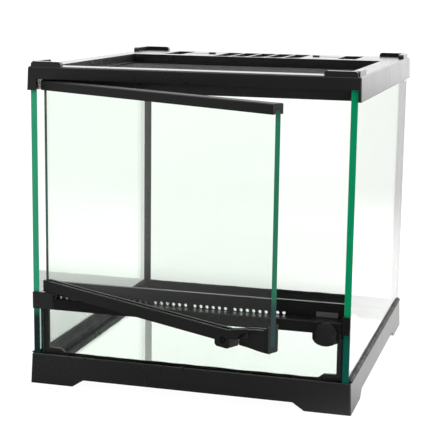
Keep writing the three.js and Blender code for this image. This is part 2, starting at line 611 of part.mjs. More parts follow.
function addLock() {
  const [x0, x1] = housingX;
  const z0 = LOCK_Z - LOCK_HOUSING_DROP;
  const roundFoot = (top) => [
    ...arc(x0 + LOCK_CORNER, z0 + LOCK_CORNER, LOCK_CORNER, 180, 270, 5),
    ...arc(x1 - LOCK_CORNER, z0 + LOCK_CORNER, LOCK_CORNER, 270, 360, 5),
    [x1, top], [x0, top],
  ];
  const spindleHole = rod('y', LOCK_X, LOCK_Z, SPINDLE_RADIUS + GAP, [lockFaceY - 1, skinBackY + 1]);
  const hub = TONGUE_HALF * 2;
  const tonguePocket = block([x0 - 1, LOCK_X + hub + GAP], [tongueY[0] - GAP, skinBackY + 1],
    [LOCK_Z - hub - GAP, ledgeUnderZ]);
  add(cabinet, 'lock_housing', cut(
    join(
      prism('y', roundFoot(STRIP_LEDGE - GAP), [lockFaceY, frontY - GAP]),
      prism('y', roundFoot(ledgeUnderZ - GAP), [lockFaceY, skinBackY]),
    ),
    spindleHole,
    tonguePocket,
  ), blackPlastic);

  const backY = lockFaceY - GAP;
  const layers = [[1, 0.3], [0.95, 0.72], [0.84, 0.9], [0.66, 1]]; // shares of the outline and the height
  add(cabinet, 'lock_knob', join(
    ...layers.map(([scale, high]) => prism('y', knobOutline(scale), [backY - KNOB_HEIGHT * high, backY])),
    rod('y', LOCK_X, LOCK_Z, SPINDLE_RADIUS, [backY - 1, tongueY[1]]),
  ), blackPlastic);

  const tongue = join(
    rod('y', 0, 0, hub, tongueY),
    block([0, TONGUE_LENGTH], tongueY, [-TONGUE_HALF, TONGUE_HALF]),
  ).rotate([0, -TONGUE_REST_ANGLE, 0]).translate([LOCK_X, 0, LOCK_Z]);
  add(cabinet, 'lock_tongue', cut(tongue, rod('y', LOCK_X, LOCK_Z, SPINDLE_RADIUS + GAP,
    [tongueY[0] - 1, tongueY[1] + 1])), steel);
}

// ---------------------------------------------------------------- door, drawn closed
const paneX = [doorX[0] + DOOR_PANE_INSET, doorX[1]];
const paneY = [doorMidY - GLASS / 2, doorMidY + GLASS / 2];
const paneZ = [doorBottomZ + DOOR_WEB + GAP, doorTopZ - DOOR_WEB - GAP];
const latchTopZ = railTopZ + LATCH_TOP[LATCH_TOP.length - 1][1];

const footX = LATCH_FOOT.map(fromFreeEdge);
const latchTop = LATCH_TOP.map(([inset, up]) => [fromFreeEdge(inset), railTopZ + up]);

function latchBlock() {
  const foot = [
    ...arc(footX[0] + LATCH_FOOT_CORNER, doorBottomZ - LATCH_FOOT_DROP + LATCH_FOOT_CORNER,
      LATCH_FOOT_CORNER, 180, 270, 4),
    ...arc(footX[1] - LATCH_FOOT_CORNER, doorBottomZ - LATCH_FOOT_DROP + LATCH_FOOT_CORNER,
      LATCH_FOOT_CORNER, 270, 360, 4),
    [footX[1], doorBottomZ + 1], [footX[0], doorBottomZ + 1],
  ];
  const rise = [
    [doorX[1], doorBottomZ + 1], [doorX[1], latchTopZ],
    ...latchTop.slice().reverse(),
    [latchTop[0][0], doorBottomZ + 1],
  ];
  return join(prism('y', foot, doorY), prism('y', rise, doorY));
}

function latchRecess() {
  const [nearY, farY] = [frontY - 1, frontY + LATCH_RECESS];
  const rampX = fromFreeEdge(LATCH_RAMP);
  const ramp = [[LOCK_X - LATCH_ARC_RADIUS, nearY], [rampX, nearY], [rampX, frontY],
    [fromFreeEdge(LATCH_FLAT), farY], [LOCK_X - LATCH_ARC_RADIUS, farY]];
  const swept = prism('y', aboutLock(arc(0, 0, LATCH_ARC_RADIUS, 0, 180, 30)), [nearY, farY]);
  return prism('z', ramp, [LOCK_Z, latchTopZ + 1]).intersect(swept);
}

function addDoor() {
  const studX = fromFreeEdge(STUD_INSET);
  const studZ = doorBottomZ + STUD_ABOVE;
  const dishY = frontY + STUD_SEAT;
  const grooveX = [doorX[0] - 1, doorX[1] + 1];
  const grooveY = [paneY[0] - GAP, paneY[1] + GAP];
  const soft = 0.8;
  const railProfile = (low, high, open) => {
    const [y0, y1] = doorY;
    return open === 'up'
      ? [[y0 + soft, low], [y1 - soft, low], [y1, low + soft], [y1, high], [y0, high], [y0, low + soft]]
      : [[y0, low], [y1, low], [y1, high - soft], [y1 - soft, high], [y0 + soft, high], [y0, high - soft]];
  };
  const upper = prism('x', railProfile(doorTopZ - DOOR_TOP_RAIL, doorTopZ, 'down'), doorX);
  const lower = prism('x', railProfile(doorBottomZ, railTopZ, 'up'), doorX);
  const pin = (z0, z1) => rod('z', pivot.x, pivot.y, PIN_RADIUS, [z0, z1]);
  const pinBore = (z0, z1) => rod('z', pivot.x, pivot.y, PIN_RADIUS + GAP, [z0, z1]);
  const slotX = [footX[1], fromFreeEdge(LATCH_BLOCK)];
  const parts = {
    door_glass: [block(paneX, paneY, paneZ), glass],
    door_top_rail: [cut(
      upper,
      block(grooveX, grooveY, [0, paneZ[1] + GAP]),
      pinBore(doorTopZ - PIN_IN_DOOR - GAP, doorTopZ + 1),
    ), blackPlastic],
    door_bottom_rail: [cut(
      join(lower, latchBlock()),
      block(grooveX, grooveY, [paneZ[0] - GAP, latchTopZ + 1]),
      latchRecess(),
      block(slotX, [frontY - 1, doorY[1] + 1], [0, doorBottomZ + LATCH_SLOT_HEIGHT]),
      pinBore(doorBottomZ - 1, doorBottomZ + PIN_IN_DOOR + GAP),
      rod('y', studX, studZ, STUD_RADIUS * 2, [frontY - 1, dishY]),
    ), blackPlastic],
    latch_stud: [rod('y', studX, studZ, STUD_RADIUS, [dishY - 1, dishY - GAP], 12), steel],
    hinge_pin_upper: [pin(doorTopZ - PIN_IN_DOOR, seatTopZ + PIN_IN_FRAME), steel],
    hinge_pin_lower: [pin(STRIP_CAP_TOP - PIN_IN_FRAME, doorBottomZ + PIN_IN_DOOR), steel],
  };
  Object.entries(parts).forEach(([name, [solid, material]]) => {
    const mesh = add(door, name, solid, material);
    mesh.geometry.translate(-pivot.x, -pivot.y, 0);
  });
  door.position.copy(pivot);
  door.rotation.z = -THREE.MathUtils.degToRad(DOOR_OPEN);
  const bush = (z0, z1) => cut(rod('z', pivot.x, pivot.y, bushOuter, [z0, z1]),
    rod('z', pivot.x, pivot.y, PIN_RADIUS + GAP, [z0 - 1, z1 + 1]));
  add(cabinet, 'hinge_bush_upper', bush(seatTopZ, seatTopZ + PIN_IN_FRAME), silicone);
  add(cabinet, 'hinge_bush_lower', bush(STRIP_CAP_TOP - PIN_IN_FRAME, STRIP_CAP_TOP), silicone);
}

// ---------------------------------------------------------------- screen lid
// A sheet with a grid of openings in its window, counted across and along.
function screenSheet([sheetX, sheetY], [windowX, windowY], spanZ, [across, along]) {
  const half = MESH_BAR / 2;
  const cells = ([low, high], count) => Array.from({ length: count }, (_, i) => {
    const pitch = (high - low) / count;
    return [low + pitch * i + half, low + pitch * (i + 1) - half];
  });
  const through = [spanZ[0] - 1, spanZ[1] + 1];
  const rows = cells(windowY, along);
  const openings = cells(windowX, across).flatMap((x) => rows.map((y) => block(x, y, through)));
  return cut(block(sheetX, sheetY, spanZ), ...openings);
}

function addLid() {
  const outX = openX - GAP * 2;
  const outY = [openY[0] + GAP * 2, openY[1] - GAP * 2];
  const z0 = lidLedgeZ + GAP;
  const z1 = z0 + LID_THICK;
  const inset = (border) => [[border - outX, outX - border], [outY[0] + border, outY[1] - border]];
  const rebate = inset(LID_REBATE);
  const sheet = inset(LID_REBATE + GAP);
  const window = inset(LID_BORDER);
  const sheetZ = [z0 + LID_LIP + GAP, z0 + LID_LIP + GAP + MESH_THICK];
  const tabY = [outY[1] - LID_REBATE, outY[1] - LID_REBATE + LID_TAB_WIDTH];
  const tabs = [1, -1].map((sign) => {
    const span = [openX - LID_TAB_INSET, openX - LID_TAB_INSET + LID_TAB_LENGTH];
    return block(sign > 0 ? span : mirrored(span), tabY, [z1 - 0.5, z1 + LID_TAB_HEIGHT]);
  });
  add(cabinet, 'lid_frame', join(
    cut(
      block([-outX, outX], outY, [z0, z1]),
      block(...rebate, [z0 + LID_LIP, z1 + 1]),
      block(...window, [z0 - 1, z1 + 1]),
    ),
    ...tabs,
  ), blackPlastic);
  add(cabinet, 'lid_mesh', screenSheet(sheet, window, sheetZ, LID_MESH_CELLS), screen);
}

// ---------------------------------------------------------------- rear deck
function addRearDeck() {
  const y0 = openY[1] + TOP_WALL + GRILLE_FRONT;
  const window = [[-GRILLE_WIDTH / 2, GRILLE_WIDTH / 2], [y0, y0 + GRILLE_DEPTH]];
  const sheet = window.map(([low, high]) => [low - SLIDER_OVERLAP, high + SLIDER_OVERLAP]);
  const meshZ = [deckUnderZ - GAP - MESH_THICK, deckUnderZ - GAP];
  add(cabinet, 'rear_vent_mesh', screenSheet(sheet, window, meshZ, REAR_MESH_CELLS), screen);
  [['right', 1], ['left', -1]].forEach(([side, sign]) => {
    const span = inletSpans(sign);
    add(cabinet, `inlet_slider_${side}`, join(
      block(span.plate, span.plateY, sliderZ),
      block(span.grip, span.gripY, [sliderZ[0], BODY_HEIGHT + GRIP_PROUD]),
    ), blackPlastic);
  });
}

cabinet.add(door);
addHalves('base_frame', baseFrame(), BASE_SEAM_Y);
addHalves('top_frame', topFrame(), TOP_SEAM_Y);
addPanes();
addSeals();
addStrip();
addLock();
addDoor();
addLid();
addRearDeck();

// The origin is under the middle of the whole assembly as it stands, with the door open.
const object = new THREE.Group();
object.add(cabinet);
object.updateMatrixWorld(true);
const extent = new THREE.Box3().setFromObject(object, true);
cabinet.position.y = -(extent.min.y + extent.max.y) / 2;

export default object;
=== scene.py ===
"""Glass terrarium cabinet: materials, fine parts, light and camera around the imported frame."""
import json
import math

import bmesh
import bpy
from mathutils import Matrix, Vector, noise as mathutils_noise


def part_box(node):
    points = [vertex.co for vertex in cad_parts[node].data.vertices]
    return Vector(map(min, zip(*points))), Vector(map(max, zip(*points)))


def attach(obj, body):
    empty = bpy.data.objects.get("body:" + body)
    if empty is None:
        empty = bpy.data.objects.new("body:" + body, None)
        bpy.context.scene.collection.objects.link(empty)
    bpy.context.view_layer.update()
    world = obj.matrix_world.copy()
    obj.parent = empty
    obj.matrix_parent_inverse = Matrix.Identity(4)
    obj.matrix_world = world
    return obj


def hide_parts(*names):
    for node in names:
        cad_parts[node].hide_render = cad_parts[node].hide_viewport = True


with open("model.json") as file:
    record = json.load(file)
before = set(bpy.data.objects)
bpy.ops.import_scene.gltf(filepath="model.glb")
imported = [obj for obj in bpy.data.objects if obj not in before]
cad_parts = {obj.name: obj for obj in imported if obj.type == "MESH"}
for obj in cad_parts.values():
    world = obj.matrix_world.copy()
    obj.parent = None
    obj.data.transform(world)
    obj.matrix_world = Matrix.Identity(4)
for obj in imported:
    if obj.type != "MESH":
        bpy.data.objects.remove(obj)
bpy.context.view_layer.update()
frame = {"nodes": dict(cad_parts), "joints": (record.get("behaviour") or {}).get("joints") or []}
NODES = frame["nodes"]
MM = 0.001


# ------------------------------------------------------------------ node helpers
def new_material(name):
    material = bpy.data.materials.new(name)
    material.use_nodes = True
    tree = material.node_tree
    tree.nodes.clear()
    out = tree.nodes.new("ShaderNodeOutputMaterial")
    return material, tree, out


def add_node(tree, kind, **inputs):
    node = tree.nodes.new(kind)
    for name, value in inputs.items():
        node.inputs[name.replace("_", " ")].default_value = value
    return node


def link(tree, source, target):
    tree.links.new(source, target)


def object_coordinates(tree):
    return tree.nodes.new("ShaderNodeTexCoord").outputs["Object"]


def noise(tree, coordinates, scale, detail=3.0, roughness=0.5):
    node = add_node(tree, "ShaderNodeTexNoise", Scale=scale, Detail=detail, Roughness=roughness)
    link(tree, coordinates, node.inputs["Vector"])
    return node.outputs["Fac"]


def ramp(tree, source, stops):
    """A smooth step between two stops, each an input and the output there, held level beyond them."""
    node = tree.nodes.new("ShaderNodeMapRange")
    (in_low, out_low), (in_high, out_high) = stops
    node.inputs["From Min"].default_value = in_low
    node.inputs["From Max"].default_value = in_high
    node.inputs["To Min"].default_value = out_low
    node.inputs["To Max"].default_value = out_high
    node.interpolation_type = "SMOOTHSTEP"
    link(tree, source, node.inputs["Value"])
    return node.outputs["Result"]


def color_ramp(tree, source, stops):
    node = tree.nodes.new("ShaderNodeValToRGB")
    elements = node.color_ramp.elements
    while len(elements) < len(stops):
        elements.new(0.5)
    for element, (position, color) in zip(elements, stops):
        element.position = position
        element.color = (*color, 1.0)
    link(tree, source, node.inputs["Fac"])
    return node.outputs["Color"]


def bump(tree, height, strength, distance, normal=None):
    node = add_node(tree, "ShaderNodeBump", Strength=strength, Distance=distance)
    link(tree, height, node.inputs["Height"])
    if normal is not None:
        link(tree, normal, node.inputs["Normal"])
    return node.outputs["Normal"]


def math_node(tree, operation, *values):
    node = tree.nodes.new("ShaderNodeMath")
    node.operation = operation
    for socket, value in zip(node.inputs, values):
        if isinstance(value, (int, float)):
            socket.default_value = value
        else:
            link(tree, value, socket)
    return node.outputs[0]


def chosen_by_ray(tree, as_light, as_seen):
    """The studio's brightness: one value for the eye, also through glass, and another as a light."""
    path = tree.nodes.new("ShaderNodeLightPath")
    bounces = math_node(tree, "ADD", path.outputs["Diffuse Depth"], path.outputs["Glossy Depth"])
    seen = math_node(tree, "LESS_THAN", bounces, 0.5)
    choice = tree.nodes.new("ShaderNodeMix")
    link(tree, seen, choice.inputs["Factor"])
    link(tree, as_light, choice.inputs["A"])
    if isinstance(as_seen, float):
        choice.inputs["B"].default_value = as_seen
    else:
        link(tree, as_seen, choice.inputs["B"])
    return choice.outputs["Result"]


def soft_edges(tree, radius):
    node = tree.nodes.new("ShaderNodeBevel")
    node.samples = 6
    node.inputs["Radius"].default_value = radius
    return node.outputs["Normal"]


# ------------------------------------------------------------------ plastic, metal and silicone
def moulded_plastic(name, dark, light, rough, shine=0.5):
    """Black moulded plastic: fine grain, slightly uneven gloss and softened edges."""
    material, tree, out = new_material(name)
    where = object_coordinates(tree)
    shader = add_node(tree, "ShaderNodeBsdfPrincipled", Specular_IOR_Level=shine)
    cloud = noise(tree, where, 14.0, 4.0)
    link(tree, color_ramp(tree, cloud, [(0.3, dark), (0.72, light)]), shader.inputs["Base Color"])
    smear = noise(tree, where, 22.0, 4.0)
    gloss = ramp(tree, smear, [(0.3, rough - 0.01), (0.75, rough + 0.015)])
    link(tree, gloss, shader.inputs["Roughness"])
    grain = noise(tree, where, 1900.0, 2.0)
    grain_depth = 0.06 * MM
    edge_radius = 0.5 * MM
    surface = bump(tree, grain, 0.07, grain_depth, soft_edges(tree, edge_radius))
    link(tree, surface, shader.inputs["Normal"])
    link(tree, shader.outputs[0], out.inputs["Surface"])
    return material


def dull_metal(name, color, rough):
    """Plated or painted steel with fine brushed streaks."""
    material, tree, out = new_material(name)
    where = object_coordinates(tree)
    shader = add_node(tree, "ShaderNodeBsdfPrincipled", Metallic=1.0)
    stretch = add_node(tree, "ShaderNodeMapping", Scale=(60.0, 900.0, 900.0))
    link(tree, where, stretch.inputs["Vector"])
    streak = noise(tree, stretch.outputs[0], 1.0, 3.0)
    dark = tuple(channel * 0.75 for channel in color)
    link(tree, color_ramp(tree, streak, [(0.3, dark), (0.7, color)]), shader.inputs["Base Color"])
    gloss = ramp(tree, streak, [(0.3, rough - 0.08), (0.7, rough + 0.08)])
    link(tree, gloss, shader.inputs["Roughness"])
    streak_depth = 0.04 * MM
    edge_radius = 0.2 * MM
    surface = bump(tree, streak, 0.08, streak_depth, soft_edges(tree, edge_radius))
    link(tree, surface, shader.inputs["Normal"])
    link(tree, shader.outputs[0], out.inputs["Surface"])
    return material


def silicone_bead(name):
    """Cured black sealant with a dull sheen and the shallow ripples of the tool that smoothed it."""
    material, tree, out = new_material(name)
    where = object_coordinates(tree)
    shader = add_node(tree, "ShaderNodeBsdfPrincipled", Specular_IOR_Level=0.22)
    cloud = noise(tree, where, 60.0, 3.0)
    blacks = [(0.3, (0.006, 0.0065, 0.0065)), (0.75, (0.013, 0.014, 0.014))]
    link(tree, color_ramp(tree, cloud, blacks), shader.inputs["Base Color"])
    link(tree, ramp(tree, cloud, [(0.3, 0.42), (0.7, 0.6)]), shader.inputs["Roughness"])
    ripple = noise(tree, where, 190.0, 2.0)
    ripple_depth = 0.4 * MM
    link(tree, bump(tree, ripple, 0.35, ripple_depth), shader.inputs["Normal"])
    link(tree, shader.outputs[0], out.inputs["Surface"])
    return material


def screen_wire(name, dark, light):
    material, tree, out = new_material(name)
    where = object_coordinates(tree)
    shader = add_node(tree, "ShaderNodeBsdfPrincipled", Metallic=0.35, Specular_IOR_Level=0.5)
    cloud = noise(tree, where, 260.0, 3.0)
    link(tree, color_ramp(tree, cloud, [(0.3, dark), (0.75, light)]), shader.inputs["Base Color"])
    link(tree, ramp(tree, cloud, [(0.3, 0.38), (0.7, 0.55)]), shader.inputs["Roughness"])
    link(tree, shader.outputs[0], out.inputs["Surface"])
    return material


# ------------------------------------------------------------------ glass
PANE_TINT = (0.945, 0.988, 0.952)
# Painted light and shade on the glass: each pane's edge green is painted as bright as the light made it
# there, with a shaded green for where frames cover it.
SHADED_EDGE = (0.012, 0.045, 0.045)
EDGE_FADE = 6 * MM
EDGE_FOOT_FADE = 12 * MM
# Painted shade towards the rear: the rear edges stand against the bright side, so their green is painted
# darker.
REAR_EDGE_STOPS = [(0.0, 1.0), (0.1, 0.35)]  # the rear edges stand against the bright side
FACE_LIMIT = 0.5  # a surface that faces less than this along the pane's normal is an edge


def clear_pane(tree):
    pane = add_node(tree, "ShaderNodeBsdfPrincipled", Roughness=0.0, IOR=1.5, Transmission_Weight=1.0)
    pane.inputs["Base Color"].default_value = (*PANE_TINT, 1.0)
    return pane.outputs[0]


def lit_share(tree, where, shaded_below, shaded_above):
    """How much of the lit edge green shows: the rest is painted shade, all of it inside a frame and more at
    the rear.
    """
    place = tree.nodes.new("ShaderNodeSeparateXYZ")
    link(tree, where, place.inputs[0])
    height = place.outputs["Z"]
    low = ramp(tree, height, [(shaded_below - EDGE_FOOT_FADE, 0.0), (shaded_below + EDGE_FADE, 1.0)])
    high = ramp(tree, height, [(shaded_above - EDGE_FADE, 1.0), (shaded_above + EDGE_FADE, 0.0)])
    rear = ramp(tree, place.outputs["Y"], REAR_EDGE_STOPS)
    return math_node(tree, "MULTIPLY", math_node(tree, "MULTIPLY", low, high), rear)


def green_edge(tree, where, edge_lit, edge_shaded, shaded_below, shaded_above):
    edge = add_node(tree, "ShaderNodeBsdfPrincipled", Roughness=0.2, Specular_IOR_Level=0.12)
    stretch = add_node(tree, "ShaderNodeMapping", Scale=(900.0, 900.0, 26.0))
    link(tree, where, stretch.inputs["Vector"])
    streak = noise(tree, stretch.outputs[0], 1.0, 3.0)
    deeper = tuple(channel * 0.82 for channel in edge_lit)
    # Painted light and shade: the lit green where an edge shows, the shaded green inside frames and at the
    # rear.
    mix = tree.nodes.new("ShaderNodeMix")
    mix.data_type = "RGBA"
    link(tree, lit_share(tree, where, shaded_below, shaded_above), mix.inputs["Factor"])
    mix.inputs["A"].default_value = (*edge_shaded, 1.0)
    link(tree, color_ramp(tree, streak, [(0.25, deeper), (0.75, edge_lit)]), mix.inputs["B"])
    link(tree, mix.outputs["Result"], edge.inputs["Base Color"])
    grind = noise(tree, stretch.outputs[0], 2.2, 2.0)
    grind_depth = 0.1 * MM
    link(tree, bump(tree, grind, 0.2, grind_depth), edge.inputs["Normal"])
    return edge.outputs[0]


def float_glass(name, facing, edge_lit, edge_shaded=SHADED_EDGE, shaded_below=-1.0, shaded_above=1.0):
    """A clear pane with green edges, painted as bright as the light made them. facing is its normal; beyond
    two heights its edges get painted shade.
    """
    material, tree, out = new_material(name)
    coordinates = tree.nodes.new("ShaderNodeTexCoord")
    where = coordinates.outputs["Object"]
    dot = tree.nodes.new("ShaderNodeVectorMath")
    dot.operation = "DOT_PRODUCT"
    dot.inputs[1].default_value = facing
    link(tree, coordinates.outputs["Normal"], dot.inputs[0])
    along_normal = math_node(tree, "ABSOLUTE", dot.outputs["Value"])
    is_edge = math_node(tree, "LESS_THAN", along_normal, FACE_LIMIT)
    both = tree.nodes.new("ShaderNodeMixShader")
    link(tree, is_edge, both.inputs["Fac"])
    link(tree, clear_pane(tree), both.inputs[1])
    link(tree, green_edge(tree, where, edge_lit, edge_shaded, shaded_below, shaded_above), both.inputs[2])
    link(tree, both.outputs[0], out.inputs["Surface"])
    return material


# ------------------------------------------------------------------ materials of the CAD nodes
DOOR_OPEN = math.radians(-frame["joints"][0]["range_deg"][0])
DOOR_FACING = (math.sin(DOOR_OPEN), math.cos(DOOR_OPEN), 0)
# Heights beyond which the door pane's edge gets painted shade inside its rails.
DOOR_EDGE_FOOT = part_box("door_bottom_rail")[0][2] + 50 * MM
DOOR_EDGE_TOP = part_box("door_top_rail")[1][2] - 10 * MM
SIDEWAYS = (1, 0, 0)
LENGTHWAYS = (0, 1, 0)
UPRIGHT = (0, 0, 1)

MATERIALS = {
    "frame": moulded_plastic("frame_plastic", (0.018, 0.018, 0.0183), (0.0235, 0.0235, 0.0238), 0.28),
    "rail": moulded_plastic("rail_plastic", (0.009, 0.0092, 0.009), (0.013, 0.0132, 0.013), 0.52, 0.22),
    "lid": moulded_plastic("lid_plastic", (0.010, 0.010, 0.0105), (0.014, 0.014, 0.0145), 0.34, 0.20),
    "strip": moulded_plastic("strip_plastic", (0.007, 0.007, 0.0072), (0.010, 0.010, 0.0102), 0.36, 0.30),
    "lock": moulded_plastic("lock_plastic", (0.011, 0.011, 0.0115), (0.0155, 0.0155, 0.016), 0.30),
    "bush": moulded_plastic("bush_plastic", (0.02, 0.02, 0.02), (0.03, 0.03, 0.03), 0.45),
    "seal": silicone_bead("silicone"),
    "steel": dull_metal("plated_steel", (0.035, 0.035, 0.037), 0.45),
    "catch": dull_metal("catch_steel", (0.36, 0.36, 0.365), 0.55),
    # Each pane's edge green is a lit or shaded copy of one glass, painted as bright as the light made it
    # there.
    "side_glass_right": float_glass(
        "right_pane", SIDEWAYS, (0.004, 0.50, 0.21), edge_shaded=(0.006, 0.15, 0.11), shaded_below=86 * MM,
    ),
    "side_glass_left": float_glass("left_pane", SIDEWAYS, (0.06, 0.64, 0.34), shaded_below=75 * MM),
    "wide_glass": float_glass(
        "wide_pane", LENGTHWAYS, (0.05, 0.34, 0.20), shaded_below=30 * MM, shaded_above=281 * MM,
    ),
    "floor_glass": float_glass("floor_pane", UPRIGHT, (0.02, 0.1, 0.08)),
    "door_glass": float_glass(
        "door_pane", DOOR_FACING, (0.006, 0.175, 0.09), shaded_below=DOOR_EDGE_FOOT, shaded_above=DOOR_EDGE_TOP,
    ),
}
NODE_MATERIALS = {
    "frame": ["base_frame_front", "base_frame_rear", "top_frame_front", "top_frame_rear", "strip_cap_left",
              "inlet_slider_left", "inlet_slider_right"],
    "lid": ["lid_frame"],
    "strip": ["vent_strip", "strip_cap_right", "lock_housing"],
    "rail": ["door_top_rail", "door_bottom_rail"],
    "lock": ["lock_knob"],
    "bush": ["hinge_bush_upper", "hinge_bush_lower"],
    "seal": ["rear_seal_left", "rear_seal_right", "front_seal_left", "front_seal_right", "floor_seal"],
    "steel": ["hinge_pin_upper", "hinge_pin_lower", "latch_stud", "lock_tongue"],
    "catch": ["door_catch_plate"],
    "side_glass_right": ["right_glass"],
    "side_glass_left": ["left_glass"],
    "wide_glass": ["back_glass", "front_lower_glass"],
    "floor_glass": ["floor_glass"],
    "door_glass": ["door_glass"],
}
for key, names in NODE_MATERIALS.items():
    for name in names:
        NODES[name].data.materials.clear()
        NODES[name].data.materials.append(MATERIALS[key])


# ------------------------------------------------------------------ pieces made of tubes
def join_rings(mesh, rings):
    """A closed tube through rings of the same number of points."""
    sides = len(rings[0])
    for a, b in zip(rings, rings[1:]):
        for i in range(sides):
            after = (i + 1) % sides
            mesh.faces.new((a[i], a[after], b[after], b[i]))
    mesh.faces.new(rings[0][::-1])
    mesh.faces.new(rings[-1])


def new_piece(name, mesh, material):
    bmesh.ops.recalc_face_normals(mesh, faces=mesh.faces)
    data = bpy.data.meshes.new(name)
    mesh.to_mesh(data)
    mesh.free()
    data.materials.append(material)
    piece = bpy.data.objects.new(name, data)
    bpy.context.scene.collection.objects.link(piece)
    return piece


# ------------------------------------------------------------------ woven screens
WIRE_SIDES = 4


def wire_ring(mesh, point, across, wire):
    ring = []
    for side in range(WIRE_SIDES):
        angle = math.pi / WIRE_SIDES + side * math.tau / WIRE_SIDES
        corner = point.copy()
        corner[across] += math.cos(angle) * wire / 2
        corner.z += math.sin(angle) * wire / 2
        ring.append(mesh.verts.new(corner))
    return ring


def woven_screen(name, node, body, pitch, wire, material):
    """Wires that pass over and under each other, in the space of the grid of bars they replace."""
    low, high = (Vector(corner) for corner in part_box(node))
    middle = (low + high) / 2
    mesh = bmesh.new()
    counts = [max(2, round((high[i] - low[i]) / pitch)) for i in (0, 1)]
    steps = [(high[i] - low[i]) / counts[i] for i in (0, 1)]
    lift = (high.z - low.z) / 2 - wire / 2

    def wire_along(axis, offset, phase):
        across = 1 - axis
        rings = []
        for k in range(counts[axis] + 1):
            over_or_under = 1 if (k + phase) % 2 else -1
            point = Vector((0, 0, middle.z + lift * over_or_under))
            point[axis] = low[axis] + k * steps[axis]
            point[across] = offset
            rings.append(wire_ring(mesh, point, across, wire))
        join_rings(mesh, rings)

    for axis in (0, 1):
        across = 1 - axis
        for k in range(counts[across]):
            offset = low[across] + (k + 0.5) * steps[across]
            wire_along(axis, offset, k + axis)
    piece = new_piece(name, mesh, material)
    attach(piece, body)
    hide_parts(node)


LID_WIRE = screen_wire("dark_wire", (0.075, 0.075, 0.077), (0.12, 0.12, 0.123))
REAR_WIRE = screen_wire("grey_wire", (0.42, 0.42, 0.425), (0.60, 0.60, 0.61))
woven_screen("lid_screen", "lid_mesh", "lid", 2.2 * MM, 0.34 * MM, LID_WIRE)
woven_screen("rear_screen", "rear_vent_mesh", "cabinet", 1.9 * MM, 0.36 * MM, REAR_WIRE)


# ------------------------------------------------------------------ silicone along the base
BASE_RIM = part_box("base_frame_front")[1][2]
BEAD_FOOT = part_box("floor_seal")[1][2] - 1.5 * MM
BEAD_STEP = 5.5 * MM
PANE_GAP = 0.05 * MM
WAVE_PER_STEP = 0.33  # how far the noise moves on from one ring to the next
SWELL_SHARE = 0.4  # width's swing as a share of the crest's
SWELL_SHIFT = Vector((0.0, 0.0, 7.3))  # sets the width's noise apart from the crest's
# Each point of a section: millimetres out from the pane, and the share of the crest's height.
BEAD_SECTION = ((0.0, 1.0), (0.9, 0.93), (1.3, 0.72), (1.7, 0.45), (2.8, 0.2), (4.6, 0.0), (0.0, 0.0))
FILLET_SECTION = ((0.0, 1.0), (0.8, 0.86), (1.9, 0.45), (3.0, 0.0), (0.0, 0.0))
INSIDE_BEAD = {"section": BEAD_SECTION, "foot": BEAD_FOOT, "swing": 0.5}
OUTSIDE_BEAD = {"section": FILLET_SECTION, "foot": BASE_RIM, "swing": 0.15}


def base_bead(name, start, end, outward, above_rim, seed, section, foot, swing):
    """A bead against a pane; its crest stands above_rim mm over the base's rim, give or take swing."""
    start, end, outward = Vector(start), Vector(end), Vector(outward)
    count = round((end - start).length / BEAD_STEP)
    mesh = bmesh.new()
    rings = []
    for k in range(count + 1):
        place = start.lerp(end, k / count)
        wave = Vector((k * WAVE_PER_STEP, seed, 0.0))
        crest = BASE_RIM + (above_rim + swing * mathutils_noise.noise(wave)) * MM
        swell = 1.0 + SWELL_SHARE * swing * mathutils_noise.noise(wave + SWELL_SHIFT)
        ring = []
        for out, up in section:
            point = place + outward * (out * MM * swell)
            point.z = foot + (crest - foot) * up
            ring.append(mesh.verts.new(point))
        rings.append(ring)
    join_rings(mesh, rings)
    piece = new_piece(name, mesh, MATERIALS["seal"])
    for face in piece.data.polygons:
        face.use_smooth = len(face.vertices) == 4
    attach(piece, "cabinet")


def inside_beads():
    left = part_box("left_glass")[1][0] + PANE_GAP
    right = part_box("right_glass")[0][0] - PANE_GAP
    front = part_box("front_lower_glass")[1][1] + PANE_GAP
    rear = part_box("back_glass")[0][1] - PANE_GAP
    front_left, front_right = (left, front, 0), (right, front, 0)
    rear_left, rear_right = (left, rear, 0), (right, rear, 0)
    base_bead("base_bead_left", front_left, rear_left, (1, 0, 0), 3.1, 1.7, **INSIDE_BEAD)
    base_bead("base_bead_right", front_right, rear_right, (-1, 0, 0), 4.6, 4.1, **INSIDE_BEAD)
    base_bead("base_bead_front", front_left, front_right, (0, 1, 0), 0.8, 8.6, **INSIDE_BEAD)
    base_bead("base_bead_rear", rear_left, rear_right, (0, -1, 0), 1.8, 12.9, **INSIDE_BEAD)


def outside_beads():
    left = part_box("left_glass")[0][0]
    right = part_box("right_glass")[1][0]
    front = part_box("left_glass")[0][1]
    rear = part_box("left_glass")[1][1]
    height = 1.9
    base_bead("rim_bead_left", (left, front, 0), (left, rear, 0), (-1, 0, 0), height, 21.3, **OUTSIDE_BEAD)
    base_bead("rim_bead_right", (right, front, 0), (right, rear, 0), (1, 0, 0), height, 25.8, **OUTSIDE_BEAD)


inside_beads()
outside_beads()


# ------------------------------------------------------------------ studio
DIM, BRIGHT = 0.07, 1.3  # as a light, low in front and overhead
BACKDROP_LIGHT = 2.1
BACKDROP_SEEN = 1.13
FLOOR_SEEN = 0.97
FLOOR_REACH = 4.0
FLOOR_DROP = 0.3 * MM
FLOOR_PAINT = (0.10, 0.10, 0.10, 1.0)
FLOOR_GLOW = (1.0, 1.0, 0.99, 1.0)


def floor_as_light(tree, place):
    """Dim in front of the cabinet, bright to its right and rear, and a little weaker far away."""
    slant = math_node(tree, "MULTIPLY_ADD", place.outputs["Y"], 0.8, place.outputs["X"])
    near = ramp(tree, slant, [(-0.05, DIM), (0.22, BRIGHT)])
    far_left = ramp(tree, place.outputs["X"], [(-0.75, 0.60), (-0.35, 0.0)])
    total = math_node(tree, "ADD", near, far_left)
    distance = math_node(tree, "MAXIMUM", place.outputs["X"], place.outputs["Y"])
    return math_node(tree, "MULTIPLY", total, ramp(tree, distance, [(0.5, 1.0), (1.2, 0.60)]))


